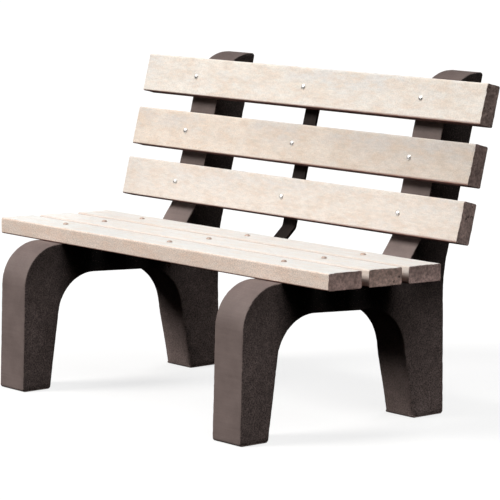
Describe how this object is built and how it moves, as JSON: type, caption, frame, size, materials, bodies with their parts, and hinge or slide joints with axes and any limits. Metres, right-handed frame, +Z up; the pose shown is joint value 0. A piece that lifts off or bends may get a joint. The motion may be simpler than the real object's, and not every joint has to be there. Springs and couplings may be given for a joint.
{
  "type": "park bench",
  "caption": "Park bench with a slatted seat and a leaning slatted back, bolted to two moulded arch-shaped end frames and a bent steel centre brace.",
  "frame": {"origin": "on the ground under the middle of the bench: the bottom centre of its bounding box", "axes": "+X along the slats towards the end that is on the right when the bench is seen from the front, -Y towards the sitter's feet (the front), +Z up"},
  "size_m": [1.219, 0.6971, 0.759],
  "materials": {
    "slat_plastic": "cream recycled-plastic lumber, faint pinkish mottle, matt, darker sawn ends",
    "frame_plastic": "brown moulded recycled plastic, matt, faint horizontal streaks in front and specks on the sides",
    "brace_steel": "dark brown-black paint on flat steel bar, satin",
    "bolt_steel": "bright stainless steel, slightly dulled outdoors"
  },
  "bodies": {
    "root": {"end_frame_left": "frame_plastic", "end_frame_right": "frame_plastic", "centre_brace": "brace_steel", "back_slat_top": "slat_plastic", "back_slat_middle": "slat_plastic", "back_slat_bottom": "slat_plastic", "seat_slat_front": "slat_plastic", "seat_slat_middle": "slat_plastic", "seat_slat_rear": "slat_plastic", "back_bolt_top_left": "bolt_steel", "back_nut_top_left": "bolt_steel", "back_bolt_top_centre": "bolt_steel", "back_nut_top_centre": "bolt_steel", "back_bolt_top_right": "bolt_steel", "back_nut_top_right": "bolt_steel", "back_bolt_middle_left": "bolt_steel", "back_nut_middle_left": "bolt_steel", "back_bolt_middle_centre": "bolt_steel", "back_nut_middle_centre": "bolt_steel", "back_bolt_middle_right": "bolt_steel", "back_nut_middle_right": "bolt_steel", "back_bolt_bottom_left": "bolt_steel", "back_nut_bottom_left": "bolt_steel", "back_bolt_bottom_centre": "bolt_steel", "back_nut_bottom_centre": "bolt_steel", "back_bolt_bottom_right": "bolt_steel", "back_nut_bottom_right": "bolt_steel", "seat_bolt_front_left": "bolt_steel", "seat_nut_front_left": "bolt_steel", "seat_bolt_front_centre": "bolt_steel", "seat_nut_front_centre": "bolt_steel", "seat_bolt_front_right": "bolt_steel", "seat_nut_front_right": "bolt_steel", "seat_bolt_middle_left": "bolt_steel", "seat_nut_middle_left": "bolt_steel", "seat_bolt_middle_centre": "bolt_steel", "seat_nut_middle_centre": "bolt_steel", "seat_bolt_middle_right": "bolt_steel", "seat_nut_middle_right": "bolt_steel", "seat_bolt_rear_left": "bolt_steel", "seat_nut_rear_left": "bolt_steel", "seat_bolt_rear_centre": "bolt_steel", "seat_nut_rear_centre": "bolt_steel", "seat_bolt_rear_right": "bolt_steel", "seat_nut_rear_right": "bolt_steel"}
  },
  "joints": []
}
